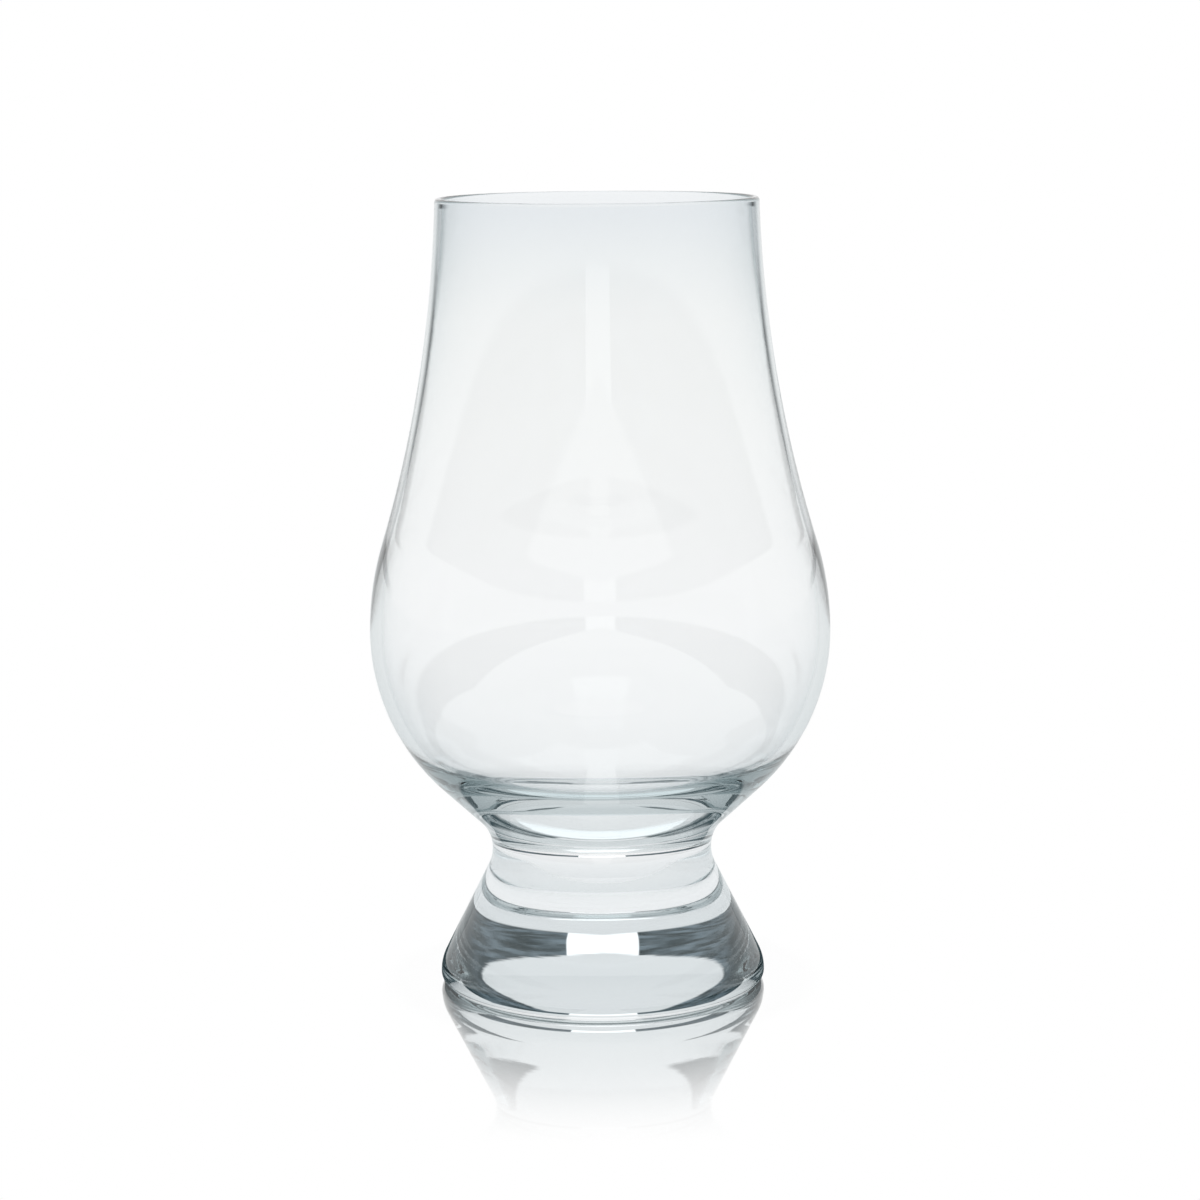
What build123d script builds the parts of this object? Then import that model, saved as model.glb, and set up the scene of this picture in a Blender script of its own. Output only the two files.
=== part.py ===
from build123d import *

import os
from math import acos, cos, degrees, hypot, radians, sin

# Whisky nosing glass: a blown tulip bowl with a thick bottom, drawn in to a waist and pressed
# on to a solid foot. Millimetres. +Z is up, and the origin is the centre of the ring that the
# glass stands on. Each outline is drawn in the (radius, height) half plane and turned about Z.
# Its arcs and straights meet tangent to tangent. An angle is that of an arc's own radius: 0 is
# outwards and 90 is up.

# Rim and wall
total_height = 115.0
rim_diameter = 46.4
rim_wall = 1.1                  # the rim is melted round, and the chimney under it is thinner
belly_wall = 1.6                # at the widest level, and on down to where the bottom thickens

# Bowl, outside
bowl_diameter = 67.0
bowl_widest_height = 52.4
chimney_radius = 188.0          # hollow curve from the shoulder up to the rim
shoulder_radius = 44.0          # rounds the bowl inwards above its widest level
flare_lean = 46.8               # of the straight flare under the belly, from upright
neck_diameter = 32.2
neck_height = 20.0
neck_radius = 6.3               # hollow curve of the waist

# Bowl, inside
inside_chimney_radius = 220.0
inside_shoulder_radius = 54.0
bottom_fill = 2.8               # glass at the axis that fills up the round of the belly
floor_radius = 43.0             # dish of the inside's floor
floor_corner_radius = 12.0      # between the dish and the belly's wall

# Foot
foot_diameter = 47.8
foot_shoulder_radius = 6.0      # between the foot's widest level and its cone
foot_heel_radius = 1.5          # under the widest level
joint_height = 11.5             # the fine line on the cone where the foot was pressed on
ring_inner_diameter = 36.0      # inside the standing ring, the underside is hollow
punt_depth = 0.75               # hollow of the underside at the axis


def bearing(start, end):
    """The angle of the way from one point (radius, height) to another."""
    across, up = end[0] - start[0], end[1] - start[1]
    angle = degrees(acos(across / hypot(across, up)))
    return angle if up >= 0 else -angle


def on_circle(centre, radius, angle):
    """The point (radius, height) at an angle on a circle."""
    return (
        centre[0] + radius * cos(radians(angle)),
        centre[1] + radius * sin(radians(angle)),
    )


def at_both(centre_a, reach_a, centre_b, reach_b):
    """The point at given distances from two centres, on the right of the way from a to b."""
    apart = hypot(centre_b[0] - centre_a[0], centre_b[1] - centre_a[1])
    turn = degrees(acos((apart**2 + reach_a**2 - reach_b**2) / (2 * apart * reach_a)))
    return on_circle(centre_a, reach_a, bearing(centre_a, centre_b) - turn)


def arc(centre, radius, start, end):
    """An arc about a centre, from one angle to another."""
    stops = [on_circle(centre, radius, angle) for angle in (start, (start + end) / 2, end)]
    return ThreePointArc(*[(r, 0, z) for r, z in stops])


def run(start, end):
    """A straight stretch between two points (radius, height)."""
    return Line((start[0], 0, start[1]), (end[0], 0, end[1]))


def turned(outline):
    """The solid that a closed outline makes when it turns about Z."""
    return revolve(make_face(Wire(outline)), Axis.Z, 360)


# Waist and flare. The belly's radius is the one whose circle has the bowl's diameter at its
# widest level and touches the flare.
bowl_radius = bowl_diameter / 2
neck_centre = (neck_diameter / 2 + neck_radius, neck_height)
flare_start = on_circle(neck_centre, neck_radius, 180 - flare_lean)
rise = bowl_widest_height - flare_start[1]
reach = bowl_radius - flare_start[0]
lean = radians(flare_lean)
belly_radius = (rise * sin(lean) - reach * cos(lean)) / (1 - cos(lean))
belly_centre = (bowl_radius - belly_radius, bowl_widest_height)
flare_end = on_circle(belly_centre, belly_radius, -flare_lean)

# Cone of the foot, which touches the waist and the foot's shoulder
foot_centre = (foot_diameter / 2 - foot_shoulder_radius, foot_heel_radius)
apart = hypot(foot_centre[0] - neck_centre[0], foot_centre[1] - neck_centre[1])
cone_turn = degrees(acos((neck_radius + foot_shoulder_radius) / apart))
cone_angle = bearing(neck_centre, foot_centre) - cone_turn
cone_start = on_circle(neck_centre, neck_radius, cone_angle)
cone_end = on_circle(foot_centre, foot_shoulder_radius, cone_angle + 180)
joint_share = (cone_start[1] - joint_height) / (cone_start[1] - cone_end[1])
joint_radius = cone_start[0] + joint_share * (cone_end[0] - cone_start[0])
joint_edge = (joint_radius, joint_height)

# Above the widest level, outside and inside: the shoulder, and the hollow chimney that touches
# both the shoulder and the rim's round edge
rim_radius = rim_wall / 2
rim_centre = (rim_diameter / 2 - rim_radius, total_height - rim_radius)
shoulder_centre = (bowl_radius - shoulder_radius, bowl_widest_height)
chimney_centre = at_both(
    shoulder_centre, shoulder_radius + chimney_radius, rim_centre, chimney_radius + rim_radius
)
shoulder_angle = bearing(shoulder_centre, chimney_centre)
rim_angle = bearing(rim_centre, chimney_centre)

inside_shoulder_centre = (bowl_radius - belly_wall - inside_shoulder_radius, bowl_widest_height)
inside_chimney_centre = at_both(
    inside_shoulder_centre,
    inside_shoulder_radius + inside_chimney_radius,
    rim_centre,
    inside_chimney_radius - rim_radius,
)
inside_shoulder_angle = bearing(inside_shoulder_centre, inside_chimney_centre)
inside_rim_angle = bearing(rim_centre, inside_chimney_centre)

# Below it, inside: the belly's wall, and a round corner that touches both the wall and the
# dished floor
inside_radius = belly_radius - belly_wall
floor_height = bowl_widest_height - inside_radius + bottom_fill
floor_centre = (0, floor_height + floor_radius)
corner_centre = at_both(
    belly_centre,
    inside_radius - floor_corner_radius,
    floor_centre,
    floor_radius - floor_corner_radius,
)
corner_start = bearing(belly_centre, corner_centre)
corner_end = bearing(floor_centre, corner_centre)

bowl = turned(
    [
        run((0, joint_height), joint_edge),
        run(joint_edge, cone_start),
        arc(neck_centre, neck_radius, cone_angle + 360, 180 - flare_lean),
        run(flare_start, flare_end),
        arc(belly_centre, belly_radius, -flare_lean, 0),
        arc(shoulder_centre, shoulder_radius, 0, shoulder_angle),
        arc(chimney_centre, chimney_radius, 180 + shoulder_angle, 180 + rim_angle),
        arc(rim_centre, rim_radius, rim_angle, 180 + inside_rim_angle),
        arc(
            inside_chimney_centre,
            inside_chimney_radius,
            180 + inside_rim_angle,
            180 + inside_shoulder_angle,
        ),
        arc(inside_shoulder_centre, inside_shoulder_radius, inside_shoulder_angle, 0),
        arc(belly_centre, inside_radius, 0, corner_start),
        arc(corner_centre, floor_corner_radius, corner_start, corner_end),
        arc(floor_centre, floor_radius, corner_end, -90),
        run((0, floor_height), (0, joint_height)),
    ]
)

# Foot: the cone under the joint, its rounded shoulder and heel, and a shallow hollow inside
# the ring
heel_centre = (foot_diameter / 2 - foot_heel_radius, foot_heel_radius)
ring_edge = (ring_inner_diameter / 2, 0)
punt_radius = (ring_edge[0] ** 2 + punt_depth**2) / (2 * punt_depth)
punt_centre = (0, punt_depth - punt_radius)

foot = turned(
    [
        run((0, joint_height), joint_edge),
        run(joint_edge, cone_end),
        arc(foot_centre, foot_shoulder_radius, cone_angle + 180, 0),
        arc(heel_centre, foot_heel_radius, 0, -90),
        run((heel_centre[0], 0), ring_edge),
        arc(punt_centre, punt_radius, bearing(punt_centre, ring_edge), 90),
        run((0, punt_depth), (0, joint_height)),
    ]
)

os.makedirs("parts", exist_ok=True)
export_step(bowl, "parts/bowl.step")
export_step(foot, "parts/foot.step")
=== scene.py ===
from math import acos, ceil, cos, degrees, hypot, pi, radians, sin

import bpy
from mathutils import Euler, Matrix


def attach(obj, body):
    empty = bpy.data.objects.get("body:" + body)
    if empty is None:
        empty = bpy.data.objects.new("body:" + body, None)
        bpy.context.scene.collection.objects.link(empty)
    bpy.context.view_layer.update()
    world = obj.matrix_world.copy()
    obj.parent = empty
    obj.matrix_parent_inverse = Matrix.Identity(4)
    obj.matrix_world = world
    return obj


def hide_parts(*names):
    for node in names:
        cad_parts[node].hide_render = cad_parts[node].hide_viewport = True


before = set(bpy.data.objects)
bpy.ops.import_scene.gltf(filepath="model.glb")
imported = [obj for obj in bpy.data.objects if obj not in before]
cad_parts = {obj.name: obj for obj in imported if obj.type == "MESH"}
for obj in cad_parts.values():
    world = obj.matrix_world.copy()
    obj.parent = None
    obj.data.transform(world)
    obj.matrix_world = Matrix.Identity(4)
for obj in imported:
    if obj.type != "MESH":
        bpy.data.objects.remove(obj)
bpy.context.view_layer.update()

mm = 0.001

# Camera. The photograph was taken from a little above the rim's level and a little under half a
# metre away, with a long lens, and it leans by half a degree.
camera_distance = 456 * mm
camera_height = 133 * mm
camera_pitch = 9.5
camera_roll = 0.45
focal_length = 95.2

lens = bpy.data.cameras.new("camera")
lens.lens = focal_length
camera = bpy.data.objects.new("camera", lens)
camera.location = (0, -camera_distance, camera_height)
look = Euler((radians(90 - camera_pitch), 0, 0)).to_matrix()
camera.rotation_euler = (look @ Euler((0, 0, radians(-camera_roll))).to_matrix()).to_euler()
bpy.context.scene.collection.objects.link(camera)
bpy.context.scene.camera = camera


# Bowl. It is blown in a turning mould from a gather of clear soda-lime glass, so every section
# is round. The rim is melted round by a flame. The thick bottom of the gather is drawn in to a
# waist and pressed on to the hot foot.
total_height = 115 * mm
rim_diameter = 46.4 * mm
rim_wall = 1.1 * mm
belly_wall = 1.6 * mm
bowl_diameter = 67 * mm
bowl_widest_height = 52.4 * mm
chimney_radius = 188 * mm
shoulder_radius = 44 * mm
flare_lean = 46.8
neck_diameter = 32.2 * mm
neck_height = 20 * mm
neck_radius = 6.3 * mm
inside_chimney_radius = 220 * mm
inside_shoulder_radius = 54 * mm
bottom_fill = 2.8 * mm
floor_radius = 43 * mm
floor_corner_radius = 12 * mm
foot_diameter = 47.8 * mm
foot_shoulder_radius = 6 * mm
foot_heel_radius = 1.5 * mm
joint_height = 11.5 * mm
steps_round = 256
longest_step = 0.9 * mm
widest_turn = 4
crease_angle = 30
merge_distance = 0.001 * mm
joint_tolerance = 0.01 * mm
level_normal = 0.999


def bearing(start, end):
    """The angle of the way from one point (radius, height) to another."""
    across, up = end[0] - start[0], end[1] - start[1]
    angle = degrees(acos(across / hypot(across, up)))
    return angle if up >= 0 else -angle


def on_circle(centre, radius, angle):
    """The point (radius, height) at an angle on a circle."""
    return (
        centre[0] + radius * cos(radians(angle)),
        centre[1] + radius * sin(radians(angle)),
    )


def at_both(centre_a, reach_a, centre_b, reach_b):
    """The point at given distances from two centres, on the right of the way from a to b."""
    apart = hypot(centre_b[0] - centre_a[0], centre_b[1] - centre_a[1])
    turn = degrees(acos((apart**2 + reach_a**2 - reach_b**2) / (2 * apart * reach_a)))
    return on_circle(centre_a, reach_a, bearing(centre_a, centre_b) - turn)


def arc(centre, radius, start, end):
    """Points along an arc, close enough for the glass to bend light smoothly."""
    turn = abs(end - start)
    steps = ceil(max(turn / widest_turn, radians(turn) * radius / longest_step))
    return [on_circle(centre, radius, start + (end - start) * i / steps) for i in range(steps + 1)]


def run(start, end):
    """Points along a straight stretch."""
    steps = ceil(hypot(end[0] - start[0], end[1] - start[1]) / longest_step)
    return [
        (start[0] + (end[0] - start[0]) * i / steps, start[1] + (end[1] - start[1]) * i / steps)
        for i in range(steps + 1)
    ]


def joined(*stretches):
    """One outline from stretches that meet end to end."""
    points = list(stretches[0])
    for stretch in stretches[1:]:
        points += stretch[1:]
    return points


bowl_radius = bowl_diameter / 2
neck_centre = (neck_diameter / 2 + neck_radius, neck_height)
flare_start = on_circle(neck_centre, neck_radius, 180 - flare_lean)
rise = bowl_widest_height - flare_start[1]
reach = bowl_radius - flare_start[0]
lean = radians(flare_lean)
belly_radius = (rise * sin(lean) - reach * cos(lean)) / (1 - cos(lean))
belly_centre = (bowl_radius - belly_radius, bowl_widest_height)
flare_end = on_circle(belly_centre, belly_radius, -flare_lean)

foot_centre = (foot_diameter / 2 - foot_shoulder_radius, foot_heel_radius)
apart = hypot(foot_centre[0] - neck_centre[0], foot_centre[1] - neck_centre[1])
cone_turn = degrees(acos((neck_radius + foot_shoulder_radius) / apart))
cone_angle = bearing(neck_centre, foot_centre) - cone_turn
cone_start = on_circle(neck_centre, neck_radius, cone_angle)
cone_end = on_circle(foot_centre, foot_shoulder_radius, cone_angle + 180)
joint_share = (cone_start[1] - joint_height) / (cone_start[1] - cone_end[1])
joint_edge = (cone_start[0] + joint_share * (cone_end[0] - cone_start[0]), joint_height)

rim_radius = rim_wall / 2
rim_centre = (rim_diameter / 2 - rim_radius, total_height - rim_radius)
shoulder_centre = (bowl_radius - shoulder_radius, bowl_widest_height)
chimney_centre = at_both(
    shoulder_centre, shoulder_radius + chimney_radius, rim_centre, chimney_radius + rim_radius
)
shoulder_angle = bearing(shoulder_centre, chimney_centre)
rim_angle = bearing(rim_centre, chimney_centre)

inside_shoulder_centre = (bowl_radius - belly_wall - inside_shoulder_radius, bowl_widest_height)
inside_chimney_centre = at_both(
    inside_shoulder_centre,
    inside_shoulder_radius + inside_chimney_radius,
    rim_centre,
    inside_chimney_radius - rim_radius,
)
inside_shoulder_angle = bearing(inside_shoulder_centre, inside_chimney_centre)
inside_rim_angle = bearing(rim_centre, inside_chimney_centre)

inside_radius = belly_radius - belly_wall
floor_height = bowl_widest_height - inside_radius + bottom_fill
floor_centre = (0, floor_height + floor_radius)
corner_centre = at_both(
    belly_centre,
    inside_radius - floor_corner_radius,
    floor_centre,
    floor_radius - floor_corner_radius,
)
corner_start = bearing(belly_centre, corner_centre)
corner_end = bearing(floor_centre, corner_centre)

bowl_outline = joined(
    run((0, joint_height), joint_edge),
    run(joint_edge, cone_start),
    arc(neck_centre, neck_radius, cone_angle + 360, 180 - flare_lean),
    run(flare_start, flare_end),
    arc(belly_centre, belly_radius, -flare_lean, 0),
    arc(shoulder_centre, shoulder_radius, 0, shoulder_angle),
    arc(chimney_centre, chimney_radius, 180 + shoulder_angle, 180 + rim_angle),
    arc(rim_centre, rim_radius, rim_angle, 180 + inside_rim_angle),
    arc(
        inside_chimney_centre,
        inside_chimney_radius,
        180 + inside_rim_angle,
        180 + inside_shoulder_angle,
    ),
    arc(inside_shoulder_centre, inside_shoulder_radius, inside_shoulder_angle, 0),
    arc(belly_centre, inside_radius, 0, corner_start),
    arc(corner_centre, floor_corner_radius, corner_start, corner_end),
    arc(floor_centre, floor_radius, corner_end, -90),
)


class Socket:
    """A node's output, or a number, that Python's arithmetic turns into Math nodes."""

    def __init__(self, tree, source):
        self.tree = tree
        self.source = source

    def maths(self, operation, *others):
        node = self.tree.nodes.new("ShaderNodeMath")
        node.operation = operation
        for place, value in zip(node.inputs, (self, *others)):
            self.tree.plug(place, value)
        return Socket(self.tree, node.outputs[0])

    def __add__(self, other):
        return self.maths("ADD", other)

    def __radd__(self, other):
        return self.maths("ADD", other)

    def __sub__(self, other):
        return self.maths("SUBTRACT", other)

    def __rsub__(self, other):
        return Socket(self.tree, other).maths("SUBTRACT", self)

    def __mul__(self, other):
        return self.maths("MULTIPLY", other)

    def __truediv__(self, other):
        return self.maths("DIVIDE", other)

    def __pow__(self, other):
        return self.maths("POWER", other)


class Tree:
    """A node tree, shader or geometry, that is built one node at a time."""

    def __init__(self, tree):
        self.tree = tree
        self.nodes = tree.nodes

    def plug(self, place, value):
        """Links or sets one input."""
        if isinstance(value, Socket):
            value = value.source
        if isinstance(value, bpy.types.NodeSocket):
            self.tree.links.new(value, place)
        else:
            place.default_value = value

    def add(self, kind, settings=None, inputs=None, output=0):
        """A new node with its settings, then its inputs, and one output as a Socket."""
        node = self.nodes.new(kind)
        settings = dict(settings or {})
        for stop, (place, colour) in enumerate(settings.pop("stops", ())):
            elements = node.color_ramp.elements
            element = elements[stop] if stop < 2 else elements.new(place)
            element.position = place
            element.color = (*colour, 1)
        for name, value in settings.items():
            setattr(node, name, value)
        for name, value in (inputs or {}).items():
            self.plug(node.inputs[name], value)
        return Socket(self, node.outputs[output])


def turning_tree():
    """Geometry Nodes that turn an outline about Z: a grid of outline points by steps round,
    each placed at its radius and height, with seam and poles merged."""
    group = bpy.data.node_groups.new("turned_glass", "GeometryNodeTree")
    face = group.interface
    face.new_socket("Geometry", in_out="INPUT", socket_type="NodeSocketGeometry")
    face.new_socket("Steps round", in_out="INPUT", socket_type="NodeSocketInt")
    face.new_socket("Merge distance", in_out="INPUT", socket_type="NodeSocketFloat")
    face.new_socket("Joint height", in_out="INPUT", socket_type="NodeSocketFloat")
    face.new_socket("Glass", in_out="INPUT", socket_type="NodeSocketMaterial")
    face.new_socket("Joint", in_out="INPUT", socket_type="NodeSocketMaterial")
    face.new_socket("Geometry", in_out="OUTPUT", socket_type="NodeSocketGeometry")
    t = Tree(group)
    given = t.nodes.new("NodeGroupInput")
    outline = given.outputs["Geometry"]
    steps = Socket(t, given.outputs["Steps round"])
    count = t.add("GeometryNodeAttributeDomainSize", inputs={"Geometry": outline})
    grid = t.add(
        "GeometryNodeMeshGrid",
        inputs={"Size X": 1.0, "Size Y": 1.0, "Vertices X": count, "Vertices Y": steps + 1},
    )
    index = t.add("GeometryNodeInputIndex")
    row = (index / (steps + 1)).maths("FLOOR")
    column = index - row * (steps + 1)
    place = t.add("GeometryNodeInputPosition")
    sampled = t.add(
        "GeometryNodeSampleIndex",
        settings={"data_type": "FLOAT_VECTOR", "domain": "POINT"},
        inputs={"Geometry": outline, "Value": place, "Index": row},
    )
    split = t.nodes.new("ShaderNodeSeparateXYZ")
    t.plug(split.inputs[0], sampled)
    radius = Socket(t, split.outputs["X"])
    height = Socket(t, split.outputs["Z"])
    angle = column * (2 * pi) / steps
    turned = t.add(
        "ShaderNodeCombineXYZ",
        inputs={
            "X": radius * angle.maths("COSINE"),
            "Y": radius * angle.maths("SINE"),
            "Z": height,
        },
    )
    placed = t.add("GeometryNodeSetPosition", inputs={"Geometry": grid, "Position": turned})
    merged = t.add(
        "GeometryNodeMergeByDistance",
        inputs={"Geometry": placed, "Distance": given.outputs["Merge distance"]},
    )
    smooth = t.add("GeometryNodeSetShadeSmooth", inputs={"Geometry": merged})
    edge_angle = t.add("GeometryNodeInputMeshEdgeAngle")
    sharp = edge_angle.maths("GREATER_THAN", radians(crease_angle))
    creased = t.add(
        "GeometryNodeSetShadeSmooth",
        settings={"domain": "EDGE"},
        inputs={"Geometry": smooth, "Selection": sharp, "Shade Smooth": False},
    )
    clad = t.add(
        "GeometryNodeSetMaterial", inputs={"Geometry": creased, "Material": given.outputs["Glass"]}
    )
    normal = t.nodes.new("ShaderNodeSeparateXYZ")
    t.plug(normal.inputs[0], t.add("GeometryNodeInputNormal"))
    level = Socket(t, normal.outputs["Z"]).maths("ABSOLUTE").maths("GREATER_THAN", level_normal)
    centre = t.nodes.new("ShaderNodeSeparateXYZ")
    t.plug(centre.inputs[0], place)
    at_joint = Socket(t, centre.outputs["Z"]).maths(
        "COMPARE", given.outputs["Joint height"], joint_tolerance
    )
    welded = t.add(
        "GeometryNodeSetMaterial",
        inputs={
            "Geometry": clad,
            "Selection": level * at_joint,
            "Material": given.outputs["Joint"],
        },
    )
    outwards = t.add("GeometryNodeFlipFaces", inputs={"Mesh": welded})
    real = t.add("GeometryNodeRealizeInstances", inputs={"Geometry": outwards})
    out = t.nodes.new("NodeGroupOutput")
    t.plug(out.inputs[0], real)
    return group


def turned(name, outline, glass, joint):
    """A piece of glass turned from its outline, as a plain mesh."""
    chain = bpy.data.meshes.new(name + "_outline")
    edges = [(i, i + 1) for i in range(len(outline) - 1)]
    chain.from_pydata([(r, 0, z) for r, z in outline], edges, [])
    source = bpy.data.objects.new(name + "_outline", chain)
    bpy.context.scene.collection.objects.link(source)
    modifier = source.modifiers.new("turn", "NODES")
    modifier.node_group = turning_tree()
    given = {
        "Steps round": steps_round,
        "Merge distance": merge_distance,
        "Joint height": joint_height,
        "Glass": glass,
        "Joint": joint,
    }
    for item in modifier.node_group.interface.items_tree:
        if item.in_out == "INPUT" and item.name in given:
            modifier[item.identifier] = given[item.name]
    graph = bpy.context.evaluated_depsgraph_get()
    mesh = bpy.data.meshes.new_from_object(source.evaluated_get(graph))
    bpy.data.objects.remove(source)
    mesh.name = name
    for place in reversed(range(len(mesh.materials))):
        if mesh.materials[place] is None:
            mesh.materials.pop(index=place)
    piece = bpy.data.objects.new(name, mesh)
    bpy.context.scene.collection.objects.link(piece)
    return piece


# The glass's colour by the height in millimetres, seen square on and seen edge on. Square on it is
# a faint tint with painted shade, greyer towards the rim and darker low down at the waist. Edge on
# it is painted slate shade, which stands for the dark room that a thin wall seen edge on gathers.
bowl_tint_and_painted_shade = (
    (11.5, (0.70, 0.74, 0.76)),
    (17, (0.76, 0.80, 0.82)),
    (22, (0.92, 0.93, 0.935)),
    (42, (0.955, 0.965, 0.968)),
    (54, (0.97, 0.975, 0.978)),
    (82, (0.965, 0.972, 0.97)),
    (98, (0.955, 0.963, 0.962)),
    (106, (0.925, 0.94, 0.945)),
    (113, (0.89, 0.91, 0.925)),
)
bowl_painted_edge_shade = (
    (11.5, (0.55, 0.61, 0.65)),
    (40, (0.72, 0.77, 0.80)),
    (54, (0.99, 0.99, 0.99)),
    (82, (0.97, 0.975, 0.98)),
    (96, (0.75, 0.80, 0.82)),
    (106, (0.50, 0.57, 0.60)),
)
# How quickly the painted edge shade comes in as the surface turns away.
painted_edge_power = 2.4
wave_detail = 2.0
refractive_index = 1.52
bowl_gloss = 0.05
bowl_wave_lengths = (9 * mm, 9 * mm, 6 * mm)
bowl_wave_height = 0.006 * mm


def mixed(t, share, first, second, blend="MIX"):
    """One colour that turns into another, or is multiplied by it, by a share."""
    return t.add(
        "ShaderNodeMix",
        settings={"data_type": "RGBA", "blend_type": blend},
        inputs={0: share, 6: first, 7: second},
        output=2,
    )


def by_height(t, height, shades):
    """A colour that runs through given shades as the height grows."""
    stops = [(stop * mm / total_height, shade) for stop, shade in shades]
    share = height / total_height
    return t.add("ShaderNodeValToRGB", settings={"stops": stops}, inputs={"Fac": share})


def shaded(t, height, shades, edge_shades):
    """The glass's faint tint and painted shade by height, which turns to its painted edge shade as
    the surface turns away.
    """
    away = t.add("ShaderNodeLayerWeight", inputs={"Blend": 0.5}, output=1)
    square = by_height(t, height, shades)
    edge = by_height(t, height, edge_shades)
    return mixed(t, away**painted_edge_power, square, edge)


def waves(t, place, lengths, height):
    """A smooth unevenness with given lengths along X, Y and Z, as a normal."""
    stretched = t.add(
        "ShaderNodeMapping",
        inputs={"Vector": place, "Scale": [1 / length for length in lengths]},
    )
    noise = t.add(
        "ShaderNodeTexNoise",
        inputs={"Vector": stretched, "Scale": 1.0, "Detail": wave_detail},
    )
    return t.add("ShaderNodeBump", inputs={"Height": noise, "Distance": height})


def clear_glass(name, shades, edge_shades, wave_lengths, wave_height, gloss):
    """Clear soda-lime glass with its faint tint, painted shade by height and at its edges, and the
    unevenness that its making left.
    """
    material = bpy.data.materials.new(name)
    material.use_nodes = True
    t = Tree(material.node_tree)
    t.nodes.clear()
    place = t.add("ShaderNodeTexCoord", output=3)
    split = t.nodes.new("ShaderNodeSeparateXYZ")
    t.plug(split.inputs[0], place)
    shader = t.add(
        "ShaderNodeBsdfPrincipled",
        inputs={
            "Base Color": shaded(t, Socket(t, split.outputs["Z"]), shades, edge_shades),
            "Roughness": 0.0,
            "IOR": refractive_index,
            "Transmission Weight": 1.0,
            "Specular IOR Level": gloss,
            "Normal": waves(t, place, wave_lengths, wave_height),
        },
    )
    out = t.nodes.new("ShaderNodeOutputMaterial")
    t.plug(out.inputs["Surface"], shader)
    return material


def unseen_joint():
    """The weld inside the glass, which shows nothing and bends nothing."""
    material = bpy.data.materials.new("joint")
    material.use_nodes = True
    t = Tree(material.node_tree)
    t.nodes.clear()
    out = t.nodes.new("ShaderNodeOutputMaterial")
    t.plug(out.inputs["Surface"], t.add("ShaderNodeBsdfTransparent"))
    return material


bowl_glass = clear_glass(
    "bowl_glass",
    bowl_tint_and_painted_shade,
    bowl_painted_edge_shade,
    bowl_wave_lengths,
    bowl_wave_height,
    bowl_gloss,
)
joint = unseen_joint()
bowl = turned("bowl_glass", bowl_outline, bowl_glass, joint)
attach(bowl, "root")
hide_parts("bowl")


# Foot. It is pressed in a mould as a solid cone with a rounded shoulder and heel, and hollowed
# a little underneath, so that the glass stands on a ring. The cold mould left it finely
# streaked all round.
ring_inner_diameter = 36 * mm
punt_depth = 0.75 * mm
# The foot's faint tint with painted shade, darker towards the top, and its painted slate edge
# shade, as in the bowl.
foot_tint_and_painted_shade = ((0, (0.97, 0.98, 0.985)), (11.5, (0.80, 0.84, 0.86)))
foot_painted_edge_shade = ((0, (0.25, 0.32, 0.34)), (11.5, (0.45, 0.51, 0.55)))
foot_streak_lengths = (7 * mm, 7 * mm, 0.5 * mm)
foot_streak_height = 0.004 * mm
foot_gloss = 0.5

heel_centre = (foot_diameter / 2 - foot_heel_radius, foot_heel_radius)
ring_edge = (ring_inner_diameter / 2, 0)
punt_radius = (ring_edge[0] ** 2 + punt_depth**2) / (2 * punt_depth)
punt_centre = (0, punt_depth - punt_radius)
foot_outline = joined(
    arc(punt_centre, punt_radius, 90, bearing(punt_centre, ring_edge)),
    run(ring_edge, (heel_centre[0], 0)),
    arc(heel_centre, foot_heel_radius, -90, 0),
    arc(foot_centre, foot_shoulder_radius, 0, cone_angle + 180),
    run(cone_end, joint_edge),
    run(joint_edge, (0, joint_height)),
)
foot_glass = clear_glass(
    "foot_glass",
    foot_tint_and_painted_shade,
    foot_painted_edge_shade,
    foot_streak_lengths,
    foot_streak_height,
    foot_gloss,
)
foot = turned("foot_glass", foot_outline, foot_glass, joint)
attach(foot, "root")
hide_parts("foot")


# Table. Glossy white, and lit white to the horizon. It mirrors the foot and keeps a soft shadow
# under it, and both fade out a little way from the glass. Close round the foot, light that the
# table or the glass has mirrored sees a ring of painted shade, with a pale gap in the middle. It
# is a painted reflection of the dark room and painted shade close round the glass.
table_size = 3.0
table_height = -0.02 * mm
table_shade = (0.9, 0.9, 0.9)
shadow_start = 23 * mm
shadow_end = 34 * mm
shadow_share = 0.3
mirror_start = 24 * mm
mirror_end = 76 * mm
mirror_share = 0.9
# The ring of painted shade round the foot, seen only by mirrored light.
gloom_start = 22 * mm
gloom_end = 45 * mm
gloom_blur = 1.5 * mm
gloom_gap = 5 * mm
gloom_gap_blur = 1 * mm
painted_gloom_shade = (0.05, 0.08, 0.09)
# What light keeps at each of its reflections, and how many count. Nearly all are inside the
# glass, whose faint tint this stands for, but the table's mirror counts too.
glass_keeps = (0.84, 0.865, 0.87)
most_kept = 8


def fade(t, value, start, end):
    """Rises smoothly from 0 to 1 between two values."""
    return t.add(
        "ShaderNodeMapRange",
        settings={"interpolation_type": "SMOOTHSTEP"},
        inputs={"Value": value, "From Min": start, "From Max": end},
    )


def window(t, value, start, end, blur):
    """Is 1 between two values and 0 outside them, with soft edges."""
    low = fade(t, value, start - blur, start + blur)
    return low * (1 - fade(t, value, end - blur, end + blur))


def kept(t, reflections):
    """The light that is left after its reflections, in the glass or on the table."""
    counted = reflections.maths("MINIMUM", most_kept)
    parts = [Socket(t, part) ** counted for part in glass_keeps]
    return t.add("ShaderNodeCombineColor", inputs=dict(enumerate(parts)))


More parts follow.
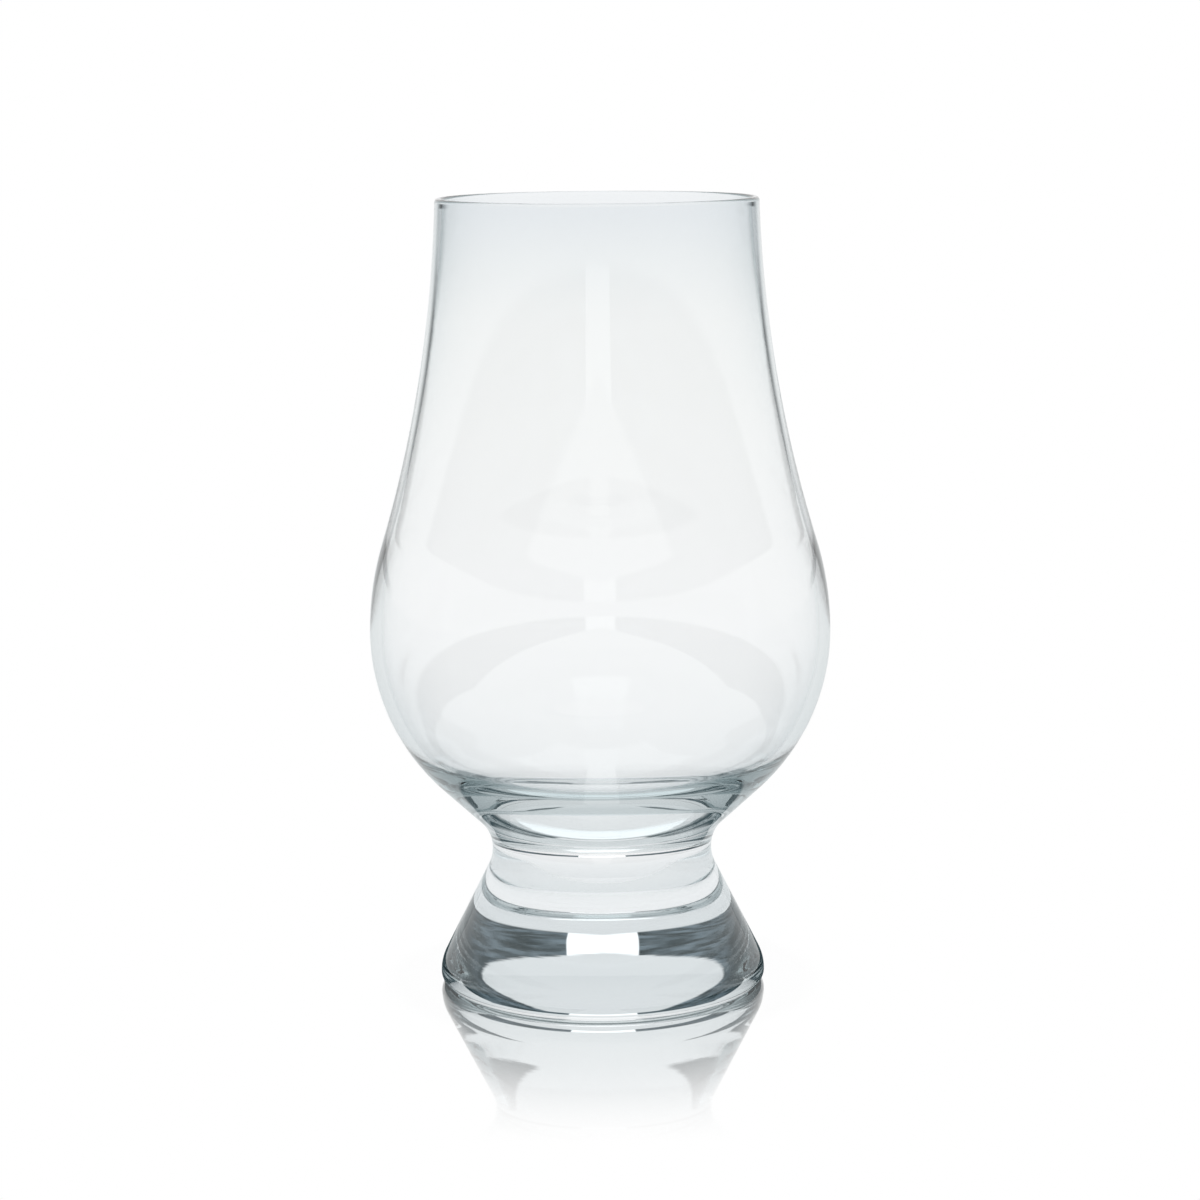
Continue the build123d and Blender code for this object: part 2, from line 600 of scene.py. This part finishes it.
table_material = bpy.data.materials.new("white_table")
table_material.use_nodes = True
t = Tree(table_material.node_tree)
t.nodes.clear()
path = t.nodes.new("ShaderNodeLightPath")
reflections = Socket(t, path.outputs["Glossy Depth"])
refracted = Socket(t, path.outputs["Is Transmission Ray"])
bent = refracted.maths("MAXIMUM", path.outputs["Is Glossy Ray"])
straight = Socket(t, path.outputs["Is Camera Ray"]).maths("MINIMUM", 1 - bent)
place = t.add("ShaderNodeTexCoord", output=3)
away = t.add(
    "ShaderNodeVectorMath", settings={"operation": "LENGTH"}, inputs={0: place}, output=1
)
split = t.nodes.new("ShaderNodeSeparateXYZ")
t.plug(split.inputs[0], place)
aside = Socket(t, split.outputs["X"]).maths("ABSOLUTE")

# Painted shade: the dark ring round the foot, with a pale gap in the middle, which only light that
# has been mirrored sees.
painted_gloom = window(t, away, gloom_start, gloom_end, gloom_blur)
painted_gloom *= fade(t, aside, gloom_gap, gloom_gap + gloom_gap_blur)
painted_gloom *= reflections.maths("MINIMUM", 1)
seen = mixed(t, painted_gloom, kept(t, reflections), (*painted_gloom_shade, 1))
lit = fade(t, away, shadow_start, shadow_end).maths("MAXIMUM", 1 - shadow_share)
mirror = (1 - fade(t, away, mirror_start, mirror_end)) * mirror_share

diffuse = t.add("ShaderNodeBsdfDiffuse", inputs={"Color": (*table_shade, 1)})
glow = t.add("ShaderNodeEmission", inputs={"Color": seen, "Strength": 1.0})
shine = t.add("ShaderNodeBsdfGlossy", inputs={"Color": (1, 1, 1, 1), "Roughness": 0.0})
glowing = bent.maths("MAXIMUM", straight * lit)
ground = t.add("ShaderNodeMixShader", inputs={0: glowing, 1: diffuse, 2: glow})
surface = t.add("ShaderNodeMixShader", inputs={0: straight * mirror, 1: ground, 2: shine})
out = t.nodes.new("ShaderNodeOutputMaterial")
t.plug(out.inputs["Surface"], surface)

table_mesh = bpy.data.meshes.new("table")
half = table_size / 2
corners = [(-half, -half), (half, -half), (half, half), (-half, half)]
table_mesh.from_pydata([(x, y, table_height) for x, y in corners], [], [(0, 1, 2, 3)])
table_mesh.materials.append(table_material)
table = bpy.data.objects.new("table", table_mesh)
bpy.context.scene.collection.objects.link(table)


# Studio. A low white wall stands all round the table. Over it the room is dark, with a white
# card let into the dark in front and behind, and a white ceiling over all, with a softbox over
# each card. Far behind, a dark board on each side draws the edges of the glass's thin wall.
# Angles are degrees above the horizon, or round from the nearer card, and for the boards round
# from the card behind.
wall_top = 7.5
ceiling_start = 12.5
ceiling_lift = 0.16  # degrees for each degree round from the card
edge_blur = 1.0
card_half = 8.0
card_blur = 0.5
card_light = 1.6
softbox_low = 40.0
softbox_high = 60.0
softbox_half = 20.0
softbox_light = 1.6
board_in = 27.0
board_out = 47.0
board_side_blur = 6.0
board_low = -3.0
board_high = -0.1
board_blur = 0.5
board_shade = (0.1, 0.1, 0.1)
dark_shade = (0.035, 0.055, 0.06)
slate_shade = (0.22, 0.28, 0.32)
slate_near = 30.0
slate_far = 60.0
slate_least = 0.35
slate_most = 0.7
patch_round = 14.0
patch_high = 1.6
patch_detail = 3.0
reflections_followed = 32
refractions_followed = 12
turns_followed = 36

world = bpy.data.worlds.new("studio")
bpy.context.scene.world = world
world.use_nodes = True
t = Tree(world.node_tree)
t.nodes.clear()
path = t.nodes.new("ShaderNodeLightPath")
direct = Socket(t, path.outputs["Is Camera Ray"])
refracted = Socket(t, path.outputs["Is Transmission Ray"])
mirrored = Socket(t, path.outputs["Is Glossy Ray"]) * (1 - refracted)
reflections = Socket(t, path.outputs["Glossy Depth"])

split = t.nodes.new("ShaderNodeSeparateXYZ")
t.plug(split.inputs[0], t.add("ShaderNodeTexCoord", output=0))
east = Socket(t, split.outputs["X"])
up = Socket(t, split.outputs["Z"]).maths("ARCSINE") * (180 / pi)
turn = east.maths("ARCTAN2", split.outputs["Y"]) * (180 / pi)
off_back = turn.maths("ABSOLUTE")
off_card = off_back.maths("MINIMUM", 180 - off_back)
over_ceiling = up - (ceiling_start + off_card * ceiling_lift)

dark = fade(t, up, wall_top - edge_blur / 2, wall_top + edge_blur / 2)
dark *= 1 - fade(t, over_ceiling, -edge_blur / 2, edge_blur / 2)
card = 1 - fade(t, off_card, card_half, card_half + card_blur)
softbox = window(t, up, softbox_low, softbox_high, edge_blur)
softbox *= 1 - fade(t, off_card, softbox_half, softbox_half + edge_blur)
board = window(t, off_back, board_in, board_out, board_side_blur)
board *= window(t, up, board_low, board_high, board_blur)

patches = t.add("ShaderNodeCombineXYZ", inputs={"X": turn / patch_round, "Y": up / patch_high})
noise = t.add(
    "ShaderNodeTexNoise", inputs={"Vector": patches, "Scale": 1.0, "Detail": patch_detail}
)
slate = fade(t, noise, slate_least, slate_most) * (1 - fade(t, off_card, slate_near, slate_far))
room = mixed(t, slate, (*dark_shade, 1), (*slate_shade, 1))
strength = 1 + softbox * (softbox_light - 1) + card * dark * (card_light - 1)
lights = t.add("ShaderNodeCombineColor", inputs={0: strength, 1: strength, 2: strength})
around = mixed(t, dark * (1 - card), lights, room)
tinted = mixed(t, 1.0, around, kept(t, reflections), blend="MULTIPLY")
plain = mixed(t, mirrored.maths("MAXIMUM", direct), tinted, (1, 1, 1, 1))
colour = mixed(t, board * (1 - direct), plain, (*board_shade, 1))
back = t.add("ShaderNodeBackground", inputs={"Color": colour, "Strength": 1.0})
out = t.nodes.new("ShaderNodeOutputWorld")
t.plug(out.inputs["Surface"], back)

# Light turns many times in the thick bottom and in the rim before it leaves the glass.
bpy.context.scene.cycles.max_bounces = turns_followed
bpy.context.scene.cycles.transmission_bounces = refractions_followed
bpy.context.scene.cycles.glossy_bounces = reflections_followed
bpy.context.scene.view_settings.view_transform = "Standard"
